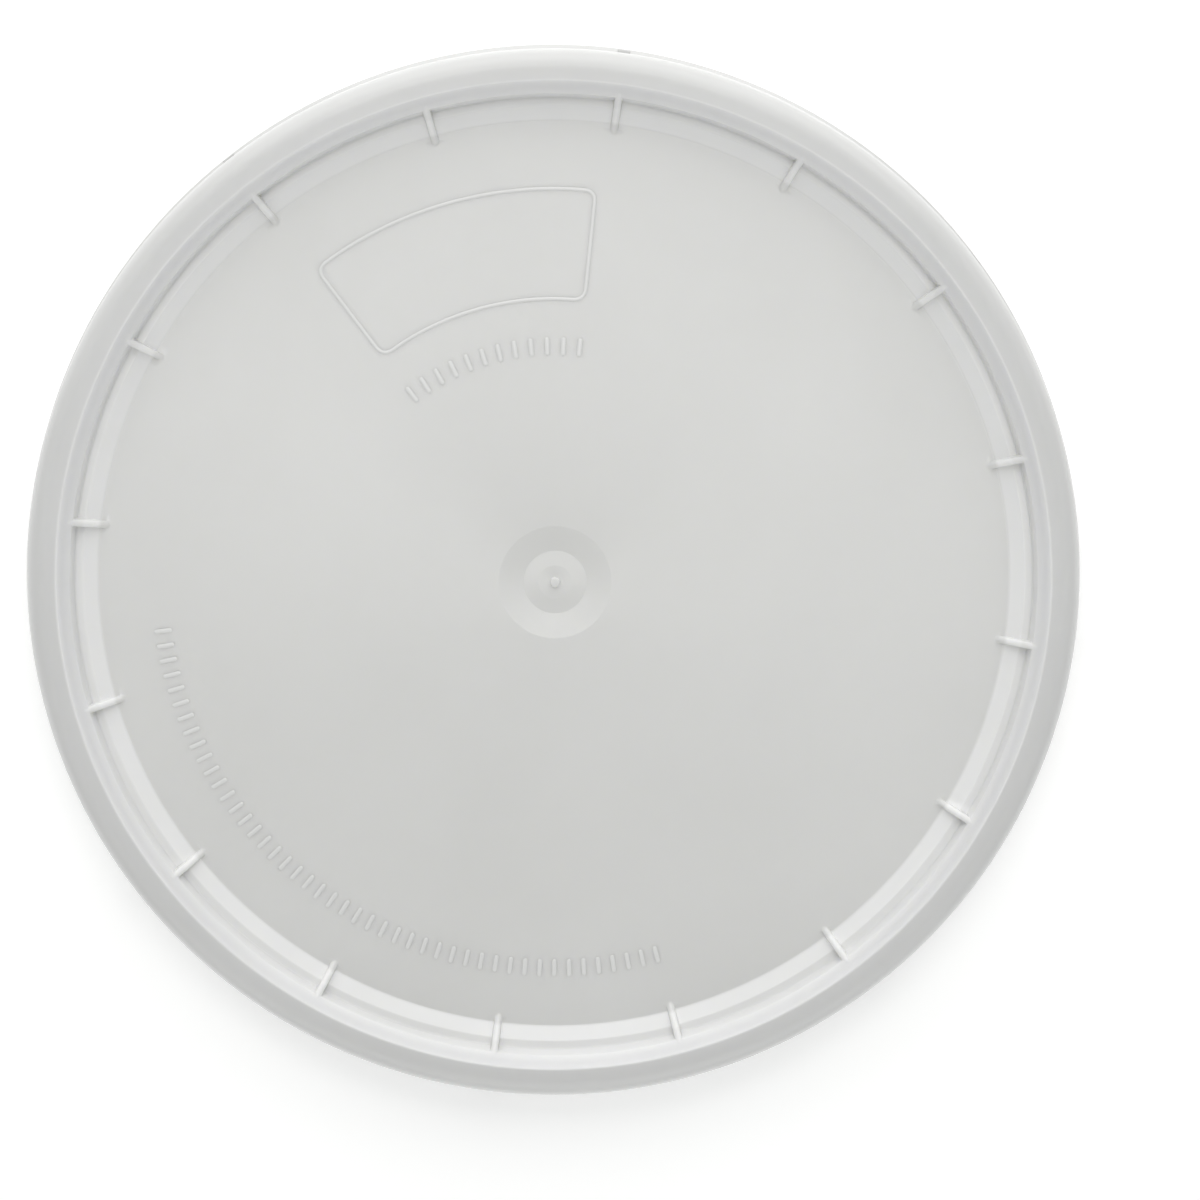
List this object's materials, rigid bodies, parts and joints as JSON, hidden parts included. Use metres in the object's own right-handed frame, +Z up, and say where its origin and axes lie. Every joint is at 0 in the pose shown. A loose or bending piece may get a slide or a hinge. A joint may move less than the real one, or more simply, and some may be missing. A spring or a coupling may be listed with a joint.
{
  "type": "fermenting pail lid",
  "caption": "Round press-on lid for a fermenting pail: sunk panel, gusseted rim, plug ring, rubber gasket and a slotted tear skirt whose sections flex outwards.",
  "frame": {"origin": "centre of the circle that the skirt's lower edge stands on, with the lid the right way up", "axes": "+Z up through the gate mark, out of the top of the panel; +X and +Y across the panel"},
  "size_m": [0.3164, 0.3164, 0.022],
  "materials": {
    "white_polyethylene": "satin, faintly translucent natural white",
    "black_rubber": "matt"
  },
  "bodies": {
    "cover": {"cover": "white_polyethylene", "gasket": "black_rubber"},
    "skirt_1": {"skirt_section_1": "white_polyethylene", "tear_bridge_1": "white_polyethylene"},
    "skirt_2": {"skirt_section_2": "white_polyethylene", "tear_bridge_2": "white_polyethylene"},
    "skirt_3": {"skirt_section_3": "white_polyethylene", "tear_bridge_3": "white_polyethylene"},
    "skirt_4": {"skirt_section_4": "white_polyethylene", "tear_bridge_4": "white_polyethylene"},
    "skirt_5": {"skirt_section_5": "white_polyethylene", "tear_bridge_5": "white_polyethylene"},
    "skirt_6": {"skirt_section_6": "white_polyethylene", "tear_bridge_6": "white_polyethylene"},
    "skirt_7": {"skirt_section_7": "white_polyethylene", "tear_bridge_7": "white_polyethylene"},
    "skirt_8": {"skirt_section_8": "white_polyethylene", "tear_bridge_8": "white_polyethylene"}
  },
  "joints": [
    {"name": "skirt_1_flex", "type": "hinge", "parent": "cover", "child": "skirt_1", "pos_m": [0.078, 0.1351, 0.01665], "axis": [0.866, -0.5, 0], "range_deg": [0, 25], "stiffness_Nm_per_rad": 0.5},
    {"name": "skirt_2_flex", "type": "hinge", "parent": "cover", "child": "skirt_2", "pos_m": [-0.04038, 0.15068, 0.01665], "axis": [0.9659, 0.2588, 0], "range_deg": [0, 25], "stiffness_Nm_per_rad": 0.5},
    {"name": "skirt_3_flex", "type": "hinge", "parent": "cover", "child": "skirt_3", "pos_m": [-0.1351, 0.078, 0.01665], "axis": [0.5, 0.866, 0], "range_deg": [0, 25], "stiffness_Nm_per_rad": 0.5},
    {"name": "skirt_4_flex", "type": "hinge", "parent": "cover", "child": "skirt_4", "pos_m": [-0.15068, -0.04038, 0.01665], "axis": [-0.2588, 0.9659, 0], "range_deg": [0, 25], "stiffness_Nm_per_rad": 0.5},
    {"name": "skirt_5_flex", "type": "hinge", "parent": "cover", "child": "skirt_5", "pos_m": [-0.078, -0.1351, 0.01665], "axis": [-0.866, 0.5, 0], "range_deg": [0, 25], "stiffness_Nm_per_rad": 0.5},
    {"name": "skirt_6_flex", "type": "hinge", "parent": "cover", "child": "skirt_6", "pos_m": [0.04038, -0.15068, 0.01665], "axis": [-0.9659, -0.2588, 0], "range_deg": [0, 25], "stiffness_Nm_per_rad": 0.5},
    {"name": "skirt_7_flex", "type": "hinge", "parent": "cover", "child": "skirt_7", "pos_m": [0.1351, -0.078, 0.01665], "axis": [-0.5, -0.866, 0], "range_deg": [0, 25], "stiffness_Nm_per_rad": 0.5},
    {"name": "skirt_8_flex", "type": "hinge", "parent": "cover", "child": "skirt_8", "pos_m": [0.15068, 0.04038, 0.01665], "axis": [0.2588, -0.9659, 0], "range_deg": [0, 25], "stiffness_Nm_per_rad": 0.5}
  ]
}
